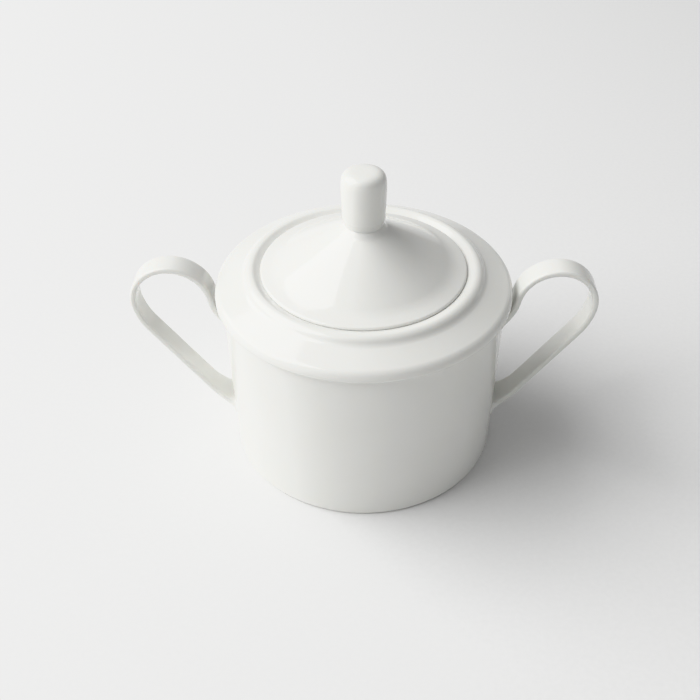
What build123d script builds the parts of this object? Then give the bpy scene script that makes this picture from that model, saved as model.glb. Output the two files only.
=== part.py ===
"""Porcelain sugar bowl with a lift-off lid and two ribbon handles.

Frame: +Z up, the foot ring stands on Z = 0, the bowl's axis is the Z axis,
and the handles lie in the XZ plane. Lengths are in millimetres.

Pieces, as they leave the potter's moulds:
  bowl_body     cast shell: foot ring, wall, sloping shoulder, rim, seat for the lid
  handle_right  pressed ribbon with splayed ends, luted to the wall on +X
  handle_left   its mirror image on -X
  lid           cast cone with a flange that drops into the mouth
  lid_knob      thimble-shaped knob luted on the top of the lid
"""

import os
from math import cos, radians, sin, tan

from build123d import *

# Bowl, outside
FOOT_R = 45.3
BASE_R = 45.8
BASE_BEVEL_Z = 0.9
WALL_TOP_R = 47.2
WALL_TOP_Z = 60.1
SHOULDER_R = 49.2
SHOULDER_UNDER_Z = 61.2
SHOULDER_UNDER_ROUND = 0.5
SHOULDER_SLOPE = 21.5
SHOULDER_ROUND = 3.0

# Bowl, rim round the mouth
RIM_TOP_R = 37.05
RIM_TOP_Z = 70.1
RIM_ROUND = 2.6
RIM_INNER_SLOPE = 27.0
RIM_OUTER_SLOPE = 60.0
NECK_R = 39.9
NECK_ROUND = 3.0

# Bowl, inside
WALL_T = 3.4
FLOOR_Z = 5.4
FLOOR_CORNER_ROUND = 9.0
FOOT_INNER_R = 41.5
FOOT_RECESS_Z = 1.8
FOOT_RECESS_ROUND = 0.8
CEILING_Z = 61.0
MOUTH_CLEAR_Z = 75.0

# Coned seat and flat ledge that the lid rests on
SEAT_Z = 67.6
SEAT_CLEARANCE = 0.08
THROAT_R = 30.6
THROAT_LOW_Z = 64.0
THROAT_EDGE_ROUND = 0.5

# Lid
LID_R = 33.9
LID_EDGE_Z = 69.7
LID_EDGE_ROUND = 0.8
LID_FLARE_R = 29.0
LID_FLARE_Z = 70.95
LID_FLARE_ROUND = 14.0
LID_NECK_R = 7.6
LID_NECK_Z = 84.0
LID_NECK_ROUND = 3.0
LID_T = 3.0
FLANGE_OUTER_R = 30.1
FLANGE_T = 2.8
FLANGE_LOW_Z = 61.9
FLANGE_ROUND = 1.0

# Knob
KNOB_SEAT_R = 6.1
KNOB_SEAT_Z = 85.95
KNOB_BELLY_R = 6.9
KNOB_BELLY_Z = 88.35
KNOB_BELLY_ROUND = 2.0
KNOB_R = 7.3
KNOB_SHOULDER_Z = 103.9
KNOB_SHOULDER_ROUND = 2.4
KNOB_TOP_Z = 104.5
KNOB_CROWN_R = 45.0

# Ribbon handles: a band along arcs given as (radius, turn in degrees), anticlockwise turns positive
RIBBON_W = 8.6
RIBBON_T = 2.1
UPPER_ROOT = (46.0, 48.55)
UPPER_ROOT_HEADING = 41.0
ROOT_ARC = (16.0, 39.5)
INNER_ARC = (13.5, -73.0)
CROWN_ARC = (12.5, -109.0)
ELBOW_ARC = (24.5, -24.5)
LIMB_LENGTH = 30.0
LOWER_ROOT_ARC = (26.0, -29.0)
LOWER_ROOT_LENGTH = 6.0

# Handle ends: the width grows along an arc towards the wall
SPLAY_W = 13.6
SPLAY_R = 45.0
SPLAY_START_R = 57.0
INSIDE_WALL_R = 43.0
HANDLE_REACH = 80.0

# Corner of the rim before rounding, and the heights of the surfaces that start from it
rim_half_angle = radians((RIM_INNER_SLOPE + RIM_OUTER_SLOPE) / 2)
rim_tilt = radians((RIM_OUTER_SLOPE - RIM_INNER_SLOPE) / 2)
rim_lift = RIM_ROUND / cos(rim_half_angle)
RIM_R = RIM_TOP_R + rim_lift * sin(rim_tilt)
RIM_Z = RIM_TOP_Z - RIM_ROUND + rim_lift * cos(rim_tilt)
NECK_Z = RIM_Z - (NECK_R - RIM_R) * tan(radians(RIM_OUTER_SLOPE))
SHOULDER_Z = NECK_Z - (SHOULDER_R - NECK_R) * tan(radians(SHOULDER_SLOPE))
LEDGE_R = RIM_R - (RIM_Z - SEAT_Z) / tan(radians(RIM_INNER_SLOPE))


def seat_cone_z(r):
    """Height of the coned seat at a radius; the rim's inner slope carries on down as this cone."""
    return SEAT_Z + (r - LEDGE_R) * tan(radians(RIM_INNER_SLOPE))


def nearest_corner(section, point):
    """The corner of a section that lies closest to a point of its outline."""
    return section.vertices().sort_by_distance((point[0], point[1], 0))[0]


def revolved(corners, rounds, mode=Mode.ADD):
    """Turn an outline in the plane through the axis into a body of revolution."""
    with BuildSketch(Plane.YZ) as section:
        with BuildLine():
            Polyline(*corners, close=True)
        make_face()
        for point, radius in rounds:
            fillet(nearest_corner(section, point), radius)
    revolve(section.sketch, axis=Axis.Z, mode=mode)


# The bowl's outside as one filled body, which the handles are trimmed to
with BuildPart() as envelope:
    base = (BASE_R, BASE_BEVEL_Z)
    wall_top = (WALL_TOP_R, WALL_TOP_Z)
    shoulder_under = (SHOULDER_R, SHOULDER_UNDER_Z)
    shoulder = (SHOULDER_R, SHOULDER_Z)
    neck = (NECK_R, NECK_Z)
    rim = (RIM_R, RIM_Z)
    ledge = (LEDGE_R, SEAT_Z)
    outline = [(0, 0), (FOOT_R, 0), base, wall_top, shoulder_under, shoulder, neck, rim, ledge, (0, SEAT_Z)]
    revolved(
        outline,
        [
            (wall_top, SHOULDER_UNDER_ROUND),
            (shoulder_under, SHOULDER_UNDER_ROUND),
            (shoulder, SHOULDER_ROUND),
            (neck, NECK_ROUND),
            (rim, RIM_ROUND),
        ],
    )

# Shell with its cavity, throat and foot recess
with BuildPart() as bowl_body:
    floor_corner = (BASE_R - WALL_T, FLOOR_Z)
    ceiling_corner = (WALL_TOP_R - WALL_T, CEILING_Z)
    throat_low = (THROAT_R, THROAT_LOW_Z)
    throat_top = (THROAT_R, MOUTH_CLEAR_Z)
    recess_corner = (FOOT_INNER_R, FOOT_RECESS_Z)
    recess_foot = (FOOT_INNER_R + FOOT_RECESS_ROUND, 0)
    add(envelope.part)
    revolved(
        [(0, FLOOR_Z), floor_corner, ceiling_corner, throat_low, throat_top, (0, MOUTH_CLEAR_Z)],
        [
            (floor_corner, FLOOR_CORNER_ROUND),
            (ceiling_corner, WALL_T),
            (throat_low, THROAT_EDGE_ROUND),
        ],
        Mode.SUBTRACT,
    )
    revolved(
        [(0, 0), recess_foot, recess_corner, (0, FOOT_RECESS_Z)],
        [(recess_corner, FOOT_RECESS_ROUND)],
        Mode.SUBTRACT,
    )

# Right-hand ribbon: a thin band round a teardrop loop, splayed at its ends and trimmed to the wall
with BuildPart() as handle_right:
    with BuildSketch(Plane.XZ):
        with BuildLine():
            with BuildLine(mode=Mode.PRIVATE) as centreline:
                heading = (cos(radians(UPPER_ROOT_HEADING)), sin(radians(UPPER_ROOT_HEADING)))
                arc = JernArc(UPPER_ROOT, heading, *ROOT_ARC)
                for radius, turn in (INNER_ARC, CROWN_ARC, ELBOW_ARC):
                    arc = JernArc(arc @ 1, arc % 1, radius, turn)
                limb = Line(arc @ 1, arc @ 1 + (arc % 1) * LIMB_LENGTH)
                arc = JernArc(limb @ 1, limb % 1, *LOWER_ROOT_ARC)
                Line(arc @ 1, arc @ 1 + (arc % 1) * LOWER_ROOT_LENGTH)
            offset(centreline.line, amount=RIBBON_T / 2, side=Side.BOTH)
        make_face()
    extrude(amount=SPLAY_W / 2, both=True)
    with BuildSketch(Plane.XY):
        with BuildLine():
            band = Line((HANDLE_REACH, RIBBON_W / 2), (SPLAY_START_R, RIBBON_W / 2))
            splay = TangentArc(band @ 1, (SPLAY_R, SPLAY_W / 2), tangent=band % 1)
            Polyline(splay @ 1, (INSIDE_WALL_R, SPLAY_W / 2), (INSIDE_WALL_R, 0), (HANDLE_REACH, 0), band @ 0)
        make_face()
        mirror(about=Plane.XZ)
    extrude(amount=HANDLE_REACH, mode=Mode.INTERSECT)
    add(envelope.part, mode=Mode.SUBTRACT)

# Left-hand ribbon, its mirror image
with BuildPart() as handle_left:
    mirror(handle_right.part, about=Plane.YZ)

# Hollow cone with a rounded edge, a coned underside that follows the seat, and a locating flange
with BuildPart() as lid:
    flange_inner_r = FLANGE_OUTER_R - FLANGE_T
    cone_slope = (LID_NECK_Z - LID_FLARE_Z) / (LID_FLARE_R - LID_NECK_R)
    drop = LID_T * (1 + cone_slope**2) ** 0.5
    rest_r = LEDGE_R - SEAT_CLEARANCE / tan(radians(RIM_INNER_SLOPE))
    eave = (flange_inner_r, LID_FLARE_Z - drop + (LID_FLARE_R - flange_inner_r) * cone_slope)
    roof = (LID_NECK_R, LID_NECK_Z - drop)
    edge = (LID_R, LID_EDGE_Z)
    flare = (LID_FLARE_R, LID_FLARE_Z)
    neck = (LID_NECK_R, LID_NECK_Z)
    flange_tip = (FLANGE_OUTER_R, FLANGE_LOW_Z)
    flange_heel = (flange_inner_r, FLANGE_LOW_Z)
    revolved(
        [
            (0, KNOB_SEAT_Z),
            (KNOB_SEAT_R, KNOB_SEAT_Z),
            neck,
            flare,
            edge,
            (LID_R, seat_cone_z(LID_R) + SEAT_CLEARANCE),
            (rest_r, SEAT_Z),
            (FLANGE_OUTER_R, SEAT_Z),
            flange_tip,
            flange_heel,
            eave,
            roof,
            (0, roof[1]),
        ],
        [
            (neck, LID_NECK_ROUND),
            (flare, LID_FLARE_ROUND),
            (edge, LID_EDGE_ROUND),
            (flange_tip, FLANGE_ROUND),
            (flange_heel, FLANGE_ROUND),
            (eave, LID_T),
            (roof, LID_T),
        ],
    )

# Thimble: tucked-in foot, sides that widen a little upwards, low domed top with a round shoulder
with BuildPart() as lid_knob:
    belly = (KNOB_BELLY_R, KNOB_BELLY_Z)
    crown_edge = (KNOB_R, KNOB_SHOULDER_Z)
    with BuildSketch(Plane.YZ) as thimble:
        with BuildLine():
            Polyline((0, KNOB_TOP_Z), (0, KNOB_SEAT_Z), (KNOB_SEAT_R, KNOB_SEAT_Z), belly, crown_edge)
            RadiusArc((0, KNOB_TOP_Z), crown_edge, KNOB_CROWN_R)
        make_face()
        fillet(nearest_corner(thimble, belly), KNOB_BELLY_ROUND)
        fillet(nearest_corner(thimble, crown_edge), KNOB_SHOULDER_ROUND)
    revolve(axis=Axis.Z)

os.makedirs("parts", exist_ok=True)

bowl_body.part.label = "bowl_body"
export_step(bowl_body.part, "parts/bowl_body.step")

handle_right.part.label = "handle_right"
export_step(handle_right.part, "parts/handle_right.step")

handle_left.part.label = "handle_left"
export_step(handle_left.part, "parts/handle_left.step")

lid.part.label = "lid"
export_step(lid.part, "parts/lid.step")

lid_knob.part.label = "lid_knob"
export_step(lid_knob.part, "parts/lid_knob.step")
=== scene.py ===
"""Looks of a white porcelain sugar bowl: lathe-turned shell, lid and knob, and two ribbon handles.

Everything is in metres in the CAD frame: +Z up, the foot ring on Z = 0, the handles along X.
Lengths written in the tables below are millimetres and pass through MM.
"""

from math import cos, hypot, pi, radians, sin, sqrt, tan

import bmesh
import bpy
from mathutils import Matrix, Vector


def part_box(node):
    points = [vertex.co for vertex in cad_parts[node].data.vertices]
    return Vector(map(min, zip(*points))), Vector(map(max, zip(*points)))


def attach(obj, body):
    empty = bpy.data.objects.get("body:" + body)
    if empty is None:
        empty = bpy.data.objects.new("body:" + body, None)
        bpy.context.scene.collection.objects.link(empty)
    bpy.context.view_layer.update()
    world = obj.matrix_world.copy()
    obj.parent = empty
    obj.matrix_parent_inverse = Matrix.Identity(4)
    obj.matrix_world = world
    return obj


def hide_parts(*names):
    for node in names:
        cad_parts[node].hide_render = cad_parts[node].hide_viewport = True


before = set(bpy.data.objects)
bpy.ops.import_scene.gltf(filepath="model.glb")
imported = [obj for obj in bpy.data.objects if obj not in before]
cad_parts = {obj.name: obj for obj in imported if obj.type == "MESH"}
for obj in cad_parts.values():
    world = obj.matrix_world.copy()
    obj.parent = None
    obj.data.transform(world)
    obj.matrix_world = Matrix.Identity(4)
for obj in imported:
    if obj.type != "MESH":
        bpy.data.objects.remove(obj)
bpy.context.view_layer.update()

MM = 0.001
AROUND = 288
ARC_STEP = radians(6.0)
STRAIGHT_RUN = 3

# ---------------------------------------------------------------- sizes read from the frame

_, bowl_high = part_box("bowl_body")
lid_low, lid_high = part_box("lid")
knob_low, knob_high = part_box("lid_knob")

SHOULDER_R = bowl_high.x / MM
RIM_TOP_Z = bowl_high.z / MM
LID_R = lid_high.x / MM
FLANGE_LOW_Z = lid_low.z / MM
KNOB_SEAT_Z = knob_low.z / MM
KNOB_TOP_Z = knob_high.z / MM
KNOB_R = knob_high.y / MM

# ---------------------------------------------------------------- sizes that the boxes don't give

FOOT_RECESS_Z = 1.8
FOOT_INNER_R = 42.3
FOOT_RECESS_ROUND = 0.8
FOOT_R = 45.3
FOOT_EDGE_ROUND = 0.3
BASE_R, BASE_Z, BASE_ROUND = 45.8, 0.9, 0.4
WALL_TOP_R, WALL_TOP_Z = 47.2, 60.1
WALL_TOP_ROUND = 0.5
SHOULDER_UNDER_Z = 61.2
SHOULDER_UNDER_ROUND = 0.7
SHOULDER_SLOPE = tan(radians(21.5))
SHOULDER_ROUND = 3.0
NECK_R, NECK_ROUND = 39.9, 3.0
RIM_R, RIM_Z = 38.07, RIM_TOP_Z + 0.84
RIM_OUTER_SLOPE = tan(radians(60.0))
RIM_INNER_SLOPE = tan(radians(27.0))
RIM_ROUND = 2.6
SEAT_Z = 67.6
LEDGE_R = RIM_R - (RIM_Z - SEAT_Z) / RIM_INNER_SLOPE
SEAT_GLAZE_GAP = 0.08
LEDGE_ROUND = 0.3
THROAT_R, THROAT_LOW_Z = 30.6, 64.0
THROAT_TOP_ROUND, THROAT_LOW_ROUND = 0.5, 0.6
CAVITY_TOP_R, CAVITY_TOP_Z, CAVITY_TOP_ROUND = 43.8, 61.0, 3.4
FLOOR_R, FLOOR_Z, FLOOR_ROUND = 42.4, 5.4, 9.0

LID_T = 3.0
LID_EDGE_Z, LID_EDGE_ROUND = 69.7, 0.8
LID_FLARE_R, LID_FLARE_Z, LID_FLARE_ROUND = 29.0, 70.95, 14.0
LID_NECK_R, LID_NECK_Z, LID_NECK_ROUND = 7.6, 84.0, 4.0
FLANGE_R, FLANGE_T, FLANGE_ROUND = 30.1, 2.8, 1.0
CRISP_ROUND = 0.1

KNOB_SEAT_R = 6.1
KNOB_SUNK = 0.3
KNOB_BELLY_R, KNOB_BELLY_UP, KNOB_BELLY_ROUND = 6.9, 2.4, 2.0
KNOB_DOME_H, KNOB_DOME_FULLNESS = 7.0, 4.6
KNOB_DOME_STEPS = 40

# ---------------------------------------------------------------- mesh helpers


def rounded(corners):
    """Outline through (r, z, rounding) corners, each rounding drawn as an arc of short chords."""
    points = []
    for i, (r, z, radius) in enumerate(corners):
        here = Vector((r, z))
        if radius == 0:
            points.append(here)
            continue
        before = (Vector(corners[i - 1][:2]) - here).normalized()
        after = (Vector(corners[i + 1][:2]) - here).normalized()
        half = before.angle(after) / 2
        bisector = (before + after).normalized()
        centre = here + bisector * (radius / sin(half))
        start = here + before * (radius / tan(half)) - centre
        sweep = pi - 2 * half
        if start.x * before.y - start.y * before.x > 0:
            sweep = -sweep
        steps = max(3, round(abs(sweep) / ARC_STEP))
        for k in range(steps + 1):
            a = sweep * k / steps
            arm = Vector((start.x * cos(a) - start.y * sin(a), start.x * sin(a) + start.y * cos(a)))
            points.append(centre + arm)
    return points


def outline_normals(points):
    """Normal at each outline point; where an arc meets a much longer straight, the straight's."""
    normals = []
    last = len(points) - 1
    for i in range(len(points)):
        ahead = points[min(i + 1, last)] - points[max(i - 1, 0)]
        if 0 < i < last:
            first, second = points[i] - points[i - 1], points[i + 1] - points[i]
            short, long = sorted((first, second), key=lambda run: run.length)
            if long.length > STRAIGHT_RUN * short.length:
                ahead = long
        normals.append(Vector((ahead.y, -ahead.x)).normalized())
    return normals


def lathe(name, corners):
    """Closed body of revolution about Z from an outline that starts and ends on the axis."""
    points = rounded(corners)
    normals2d = outline_normals(points)
    verts, normals, rings = [], [], []
    for point, normal in zip(points, normals2d):
        if point.x < 1e-6:
            rings.append([len(verts)])
            verts.append((0, 0, point.y * MM))
            normals.append((0, 0, 1 if normal.y > 0 else -1))
            continue
        ring = []
        for k in range(AROUND):
            a = 2 * pi * k / AROUND
            ring.append(len(verts))
            verts.append((point.x * cos(a) * MM, point.x * sin(a) * MM, point.y * MM))
            normals.append((normal.x * cos(a), normal.x * sin(a), normal.y))
        rings.append(ring)
    faces = []
    for low, high in zip(rings, rings[1:]):
        for k in range(AROUND):
            n = (k + 1) % AROUND
            if len(low) == 1:
                faces.append((low[0], high[n], high[k]))
            elif len(high) == 1:
                faces.append((low[k], low[n], high[0]))
            else:
                faces.append((low[k], low[n], high[n], high[k]))
    mesh = bpy.data.meshes.new(name)
    mesh.from_pydata(verts, [], faces)
    for polygon in mesh.polygons:
        polygon.use_smooth = True
    mesh.normals_split_custom_set_from_vertices(normals)
    piece = bpy.data.objects.new(name, mesh)
    bpy.context.scene.collection.objects.link(piece)
    return piece


# ---------------------------------------------------------------- materials


def new_material(name):
    """An empty node material, with the parts that the materials below wire up."""
    material = bpy.data.materials.new(name)
    material.use_nodes = True
    nodes = material.node_tree.nodes
    return material, nodes, material.node_tree.links, nodes["Principled BSDF"]


def object_noise(nodes, links, scale, detail):
    """Noise laid out in the object's own coordinates."""
    coords = nodes.new("ShaderNodeTexCoord")
    noise = nodes.new("ShaderNodeTexNoise")
    noise.inputs["Scale"].default_value = scale
    noise.inputs["Detail"].default_value = detail
    links.new(coords.outputs["Object"], noise.inputs["Vector"])
    return noise.outputs["Fac"]


def ramp(nodes, links, source, low, high, start=0.3, end=0.7):
    """Colour ramp from low to high, as colours or as grey values."""
    node = nodes.new("ShaderNodeValToRGB")
    first, second = node.color_ramp.elements
    first.position, second.position = start, end
    first.color, second.color = low, high
    links.new(source, node.inputs["Fac"])
    return node.outputs["Color"]


def grey(value):
    return (value, value, value, 1)


def glazed_porcelain(name):
    """White glaze: faint warm clouding, slightly uneven gloss, orange-peel and long soft waves."""
    material, nodes, links, shader = new_material(name)
    tint = object_noise(nodes, links, scale=28.0, detail=3.0)
    whites = ramp(nodes, links, tint, (0.800, 0.802, 0.770, 1), (0.822, 0.822, 0.796, 1))
    links.new(whites, shader.inputs["Base Color"])
    gloss = object_noise(nodes, links, scale=160.0, detail=4.0)
    links.new(ramp(nodes, links, gloss, grey(0.09), grey(0.14)), shader.inputs["Roughness"])
    waves = object_noise(nodes, links, scale=45.0, detail=1.0)
    peel = object_noise(nodes, links, scale=900.0, detail=2.0)
    wave_bump = nodes.new("ShaderNodeBump")
    wave_bump.inputs["Strength"].default_value = 0.25
    wave_bump.inputs["Distance"].default_value = 0.0004
    links.new(waves, wave_bump.inputs["Height"])
    peel_bump = nodes.new("ShaderNodeBump")
    peel_bump.inputs["Strength"].default_value = 0.08
    peel_bump.inputs["Distance"].default_value = 0.00004
    links.new(peel, peel_bump.inputs["Height"])
    links.new(wave_bump.outputs["Normal"], peel_bump.inputs["Normal"])
    links.new(peel_bump.outputs["Normal"], shader.inputs["Normal"])
    shader.inputs["IOR"].default_value = 1.52
    shader.inputs["Subsurface Weight"].default_value = 0.15
    shader.inputs["Subsurface Radius"].default_value = (1.0, 0.85, 0.7)
    shader.inputs["Subsurface Scale"].default_value = 0.0015
    return material


def bare_biscuit(name):
    """Unglazed fired clay of the foot ring: matt, a little warmer, finely grained."""
    material, nodes, links, shader = new_material(name)
    grain = object_noise(nodes, links, scale=1400.0, detail=4.0)
    clay = ramp(nodes, links, grain, (0.62, 0.60, 0.55, 1), (0.72, 0.70, 0.65, 1))
    links.new(clay, shader.inputs["Base Color"])
    links.new(ramp(nodes, links, grain, grey(0.75), grey(0.92)), shader.inputs["Roughness"])
    bump = nodes.new("ShaderNodeBump")
    bump.inputs["Strength"].default_value = 0.4
    bump.inputs["Distance"].default_value = 0.00006
    links.new(grain, bump.inputs["Height"])
    links.new(bump.outputs["Normal"], shader.inputs["Normal"])
    return material


def studio_paper(name):
    """Matt pale backdrop paper with a fine fibre."""
    material, nodes, links, shader = new_material(name)
    fibre = object_noise(nodes, links, scale=600.0, detail=5.0)
    pale = ramp(nodes, links, fibre, (0.775, 0.775, 0.772, 1), (0.795, 0.795, 0.792, 1))
    links.new(pale, shader.inputs["Base Color"])
    links.new(ramp(nodes, links, fibre, grey(0.55), grey(0.7)), shader.inputs["Roughness"])
    return material


# ---------------------------------------------------------------- turned pieces


def bowl_outline():
    """Underside of the foot, wall, shoulder, rim, coned lid seat, throat and inside, back to the axis."""
    neck_z = RIM_Z - (NECK_R - RIM_R) * RIM_OUTER_SLOPE
    shoulder_z = neck_z - (SHOULDER_R - NECK_R) * SHOULDER_SLOPE
    return [
        (0, FOOT_RECESS_Z, 0),
        (FOOT_INNER_R - FOOT_RECESS_ROUND, FOOT_RECESS_Z, FOOT_RECESS_ROUND),
        (FOOT_INNER_R, 0, FOOT_EDGE_ROUND),
        (FOOT_R, 0, FOOT_EDGE_ROUND),
        (BASE_R, BASE_Z, BASE_ROUND),
        (WALL_TOP_R, WALL_TOP_Z, WALL_TOP_ROUND),
        (SHOULDER_R, SHOULDER_UNDER_Z, SHOULDER_UNDER_ROUND),
        (SHOULDER_R, shoulder_z, SHOULDER_ROUND),
        (NECK_R, neck_z, NECK_ROUND),
        (RIM_R, RIM_Z, RIM_ROUND),
        (LEDGE_R, SEAT_Z, LEDGE_ROUND),
        (THROAT_R, SEAT_Z, THROAT_TOP_ROUND),
        (THROAT_R, THROAT_LOW_Z, THROAT_LOW_ROUND),
        (CAVITY_TOP_R, CAVITY_TOP_Z, CAVITY_TOP_ROUND),
        (FLOOR_R, FLOOR_Z, FLOOR_ROUND),
        (0, FLOOR_Z, 0),
    ]


def lid_outline():
    """Flange, coned resting edge, shallow cone with a flared eave, knob seat and hollow underside."""
    slope = (LID_NECK_Z - LID_FLARE_Z) / (LID_FLARE_R - LID_NECK_R)
    drop = LID_T * sqrt(1 + slope**2)
    roof_z = LID_NECK_Z - drop
    inner_r = FLANGE_R - FLANGE_T
    cone_low_r = LEDGE_R - SEAT_GLAZE_GAP / RIM_INNER_SLOPE
    edge_low_z = SEAT_Z + (LID_R - cone_low_r) * RIM_INNER_SLOPE
    return [
        (0, roof_z, 0),
        (LID_NECK_R, roof_z, LID_T),
        (inner_r, LID_FLARE_Z - drop + (LID_FLARE_R - inner_r) * slope, LID_T),
        (inner_r, FLANGE_LOW_Z, FLANGE_ROUND),
        (FLANGE_R, FLANGE_LOW_Z, FLANGE_ROUND),
        (FLANGE_R, SEAT_Z, LEDGE_ROUND),
        (cone_low_r, SEAT_Z, CRISP_ROUND),
        (LID_R, edge_low_z, CRISP_ROUND),
        (LID_R, LID_EDGE_Z, LID_EDGE_ROUND),
        (LID_FLARE_R, LID_FLARE_Z, LID_FLARE_ROUND),
        (LID_NECK_R, LID_NECK_Z, LID_NECK_ROUND),
        (KNOB_SEAT_R, KNOB_SEAT_Z, CRISP_ROUND),
        (0, KNOB_SEAT_Z, 0),
    ]


def knob_outline():
    """Thimble: slightly tucked foot, straight sides and a nearly flat top (a superellipse)."""
    dome_start_z = KNOB_TOP_Z - KNOB_DOME_H
    points = [
        (0, KNOB_SEAT_Z - KNOB_SUNK, 0),
        (KNOB_SEAT_R, KNOB_SEAT_Z - KNOB_SUNK, CRISP_ROUND),
        (KNOB_BELLY_R, KNOB_SEAT_Z + KNOB_BELLY_UP, KNOB_BELLY_ROUND),
    ]
    for k in range(KNOB_DOME_STEPS + 1):
        a = pi / 2 * k / KNOB_DOME_STEPS
        r = KNOB_R * cos(a) ** (2 / KNOB_DOME_FULLNESS)
        z = dome_start_z + KNOB_DOME_H * sin(a) ** (2 / KNOB_DOME_FULLNESS)
        points.append((max(r, 0), z, 0))
    return points


# ---------------------------------------------------------------- ribbon handles

UPPER_ROOT = Vector((45.1, 47.76))
UPPER_HEADING = radians(41.0)
# (radius, turn in degrees, anticlockwise positive), or (None, length) for a straight run
HANDLE_ARCS = [
    (None, 1.2),
    (16.0, 39.5),
    (13.5, -73.0),
    (12.5, -109.0),
    (24.5, -24.5),
    (None, 30.0),
    (26.0, -29.0),
    (None, 6.0),
]
RIBBON_W = 8.6
RIBBON_T = 2.1
RIBBON_ROUND = 0.85
SPLAY_START_R = 57.0
SPLAY_BEND_R = 30.0
UPPER_SHARE = 0.35
UPPER_ROOT_LOW_Z = UPPER_ROOT.y - 8
ROOT_FLARE = 2.2
ROOT_FLARE_RISE = 0.6
SECTION_POINTS = 48
STATION_STEP = 0.5


def wall_radius(z):
    """Outside radius of the bowl's wall at a height, in millimetres."""
    return BASE_R + (WALL_TOP_R - BASE_R) * (z - BASE_Z) / (WALL_TOP_Z - BASE_Z)


def centreline():
    """Points and headings along the handle's middle line, in the XZ plane."""
    at, heading = UPPER_ROOT.copy(), UPPER_HEADING
    stations = [(at.copy(), heading)]
    for radius, amount in HANDLE_ARCS:
        length = amount if radius is None else radius * abs(radians(amount))
        turn = 0 if radius is None else radians(amount)
        steps = max(2, round(length / STATION_STEP))
        for _ in range(steps):
            heading += turn / steps / 2
            at = at + Vector((cos(heading), sin(heading))) * (length / steps)
            heading += turn / steps / 2
            stations.append((at.copy(), heading))
    return stations


def root_share(at):
    """How far a root spreads: the upper one, pressed in under the shoulder, spreads less."""
    return UPPER_SHARE if at.y > UPPER_ROOT_LOW_Z else 1


def splay(at):
    """Widening of the ribbon on each side, growing along an arc towards the wall."""
    inwards = max(SPLAY_START_R - at.x, 0)
    return root_share(at) * (SPLAY_BEND_R - sqrt(SPLAY_BEND_R**2 - inwards**2))


def section(half_w, half_t, rounding):
    """Rounded rectangle round the middle line: (across, through) points, each with its normal."""
    points = []
    per_corner = SECTION_POINTS // 4
    for corner, (side, face) in enumerate(((1, 1), (-1, 1), (-1, -1), (1, -1))):
        for k in range(per_corner):
            a = pi / 2 * (corner + k / (per_corner - 1))
            across = side * (half_w - rounding) + rounding * cos(a)
            through = face * (half_t - rounding) + rounding * sin(a)
            points.append((across, through, cos(a), sin(a)))
    return points


def handle(name, side):
    """Ribbon swept along its loop, splayed and softly flared where it is luted to the wall."""
    stations = centreline()
    verts, faces = [], []
    for at, heading in stations:
        normal = Vector((-sin(heading), cos(heading)))
        profile = section(RIBBON_W / 2 + splay(at), RIBBON_T / 2, RIBBON_ROUND)
        for y, through, n_across, n_through in profile:
            spot = at + normal * through
            gap = hypot(spot.x, y) - wall_radius(spot.y)
            reach = min(max(1 - gap / ROOT_FLARE, 0), 1)
            push = root_share(at) * ROOT_FLARE * (1 - sqrt(1 - reach**2)) * ROOT_FLARE_RISE
            spot = spot + normal * (push * n_through)
            y += push * n_across
            verts.append((side * spot.x * MM, y * MM, spot.y * MM))
    count = len(profile)
    for i in range(len(stations) - 1):
        for k in range(count):
            n = (k + 1) % count
            faces.append((i * count + k, i * count + n, (i + 1) * count + n, (i + 1) * count + k))
    faces.append(tuple(range(count)))
    faces.append(tuple((len(stations) - 1) * count + k for k in reversed(range(count))))
    mesh = bpy.data.meshes.new(name)
    mesh.from_pydata(verts, [], faces)
    work = bmesh.new()
    work.from_mesh(mesh)
    bmesh.ops.recalc_face_normals(work, faces=work.faces)
    work.to_mesh(mesh)
    work.free()
    for polygon in mesh.polygons:
        polygon.use_smooth = True
    piece = bpy.data.objects.new(name, mesh)
    bpy.context.scene.collection.objects.link(piece)
    return piece


# ---------------------------------------------------------------- assembly

glaze = glazed_porcelain("porcelain_glaze")
biscuit = bare_biscuit("foot_ring_biscuit")

bowl = lathe("bowl_shell", bowl_outline())
lid = lathe("lid_cone", lid_outline())
knob = lathe("knob_thimble", knob_outline())
right_handle = handle("ribbon_right", 1)
left_handle = handle("ribbon_left", -1)

for piece, body, node, slot in (
    (bowl, "bowl", "bowl_body", "porcelain_bowl"),
    (right_handle, "bowl", "handle_right", "porcelain_handles"),
    (left_handle, "bowl", "handle_left", "porcelain_handles"),
    (lid, "lid", "lid", "porcelain_lid"),
    (knob, "lid", "lid_knob", "porcelain_lid"),
):
    piece.data.materials.append(glaze)
    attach(piece, body)
    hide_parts(node)

FOOT_RING_DEPTH = 0.02
bowl.data.materials.append(biscuit)
for polygon in bowl.data.polygons:
    if polygon.center.z < FOOT_RING_DEPTH * MM:
        polygon.material_index = 1

# ---------------------------------------------------------------- stage, light and camera


def area_light(name, place, target, width, height, power):
    """White rectangular light that looks at a target."""
    data = bpy.data.lights.new(name, "AREA")
    data.shape = "RECTANGLE"
    data.size, data.size_y = width, height
    data.energy = power
    lamp = bpy.data.objects.new(name, data)
    lamp.location = place
    lamp.rotation_euler = (target - place).to_track_quat("-Z", "Y").to_euler()
    bpy.context.scene.collection.objects.link(lamp)


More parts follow.
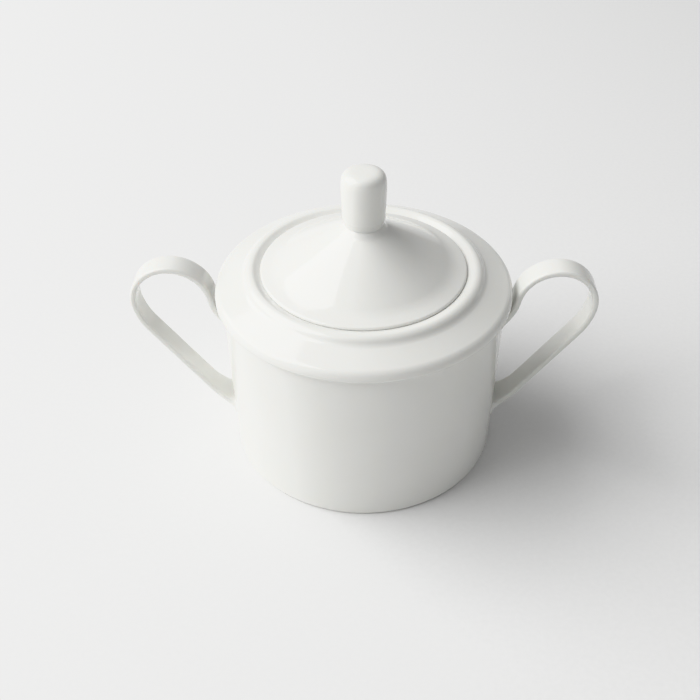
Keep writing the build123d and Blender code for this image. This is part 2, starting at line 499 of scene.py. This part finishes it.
FLOOR_HALF = 4.0
floor_corners = [(x * FLOOR_HALF, y * FLOOR_HALF, 0) for x, y in ((-1, -1), (1, -1), (1, 1), (-1, 1))]
floor_mesh = bpy.data.meshes.new("floor")
floor_mesh.from_pydata(floor_corners, [], [(0, 1, 2, 3)])
floor = bpy.data.objects.new("floor", floor_mesh)
bpy.context.scene.collection.objects.link(floor)
floor.data.materials.append(studio_paper("studio_paper"))

SKY_STRENGTH = 0.37
world = bpy.data.worlds.new("studio")
bpy.context.scene.world = world
world.use_nodes = True
world.node_tree.nodes["Background"].inputs["Color"].default_value = (1.0, 1.0, 1.0, 1)
world.node_tree.nodes["Background"].inputs["Strength"].default_value = SKY_STRENGTH

KEY_DISTANCE = 2.0
KEY_ELEVATION = radians(42.0)
KEY_BACKWARD = radians(2.0)
KEY_TARGET = Vector((0, 0, 0.03))
KEY_WIDTH, KEY_HEIGHT, KEY_POWER = 2.3, 2.1, 64.0
key_place = KEY_DISTANCE * Vector(
    (
        -cos(KEY_ELEVATION) * cos(KEY_BACKWARD),
        cos(KEY_ELEVATION) * sin(KEY_BACKWARD),
        sin(KEY_ELEVATION),
    )
)
area_light("window", key_place, KEY_TARGET, KEY_WIDTH, KEY_HEIGHT, KEY_POWER)

TARGET = Vector((0, 0, 43.2 * MM))
CAMERA_DISTANCE = 0.3392
CAMERA_ELEVATION = radians(38.08)
CAMERA_AZIMUTH = radians(0.78)
camera_data = bpy.data.cameras.new("camera")
camera_data.sensor_width = 36.0
camera_data.lens = 50.64
camera_data.shift_x = -0.0198
camera_data.shift_y = -0.0306
camera_data.clip_start = 0.01
camera = bpy.data.objects.new("camera", camera_data)
towards_camera = Vector(
    (
        sin(CAMERA_AZIMUTH) * cos(CAMERA_ELEVATION),
        -cos(CAMERA_AZIMUTH) * cos(CAMERA_ELEVATION),
        sin(CAMERA_ELEVATION),
    )
)
camera.location = TARGET + towards_camera * CAMERA_DISTANCE
camera.rotation_euler = (-towards_camera).to_track_quat("-Z", "Y").to_euler()
bpy.context.scene.collection.objects.link(camera)
bpy.context.scene.camera = camera

view = bpy.context.scene.view_settings
view.view_transform = "Khronos PBR Neutral"
view.look = "None"
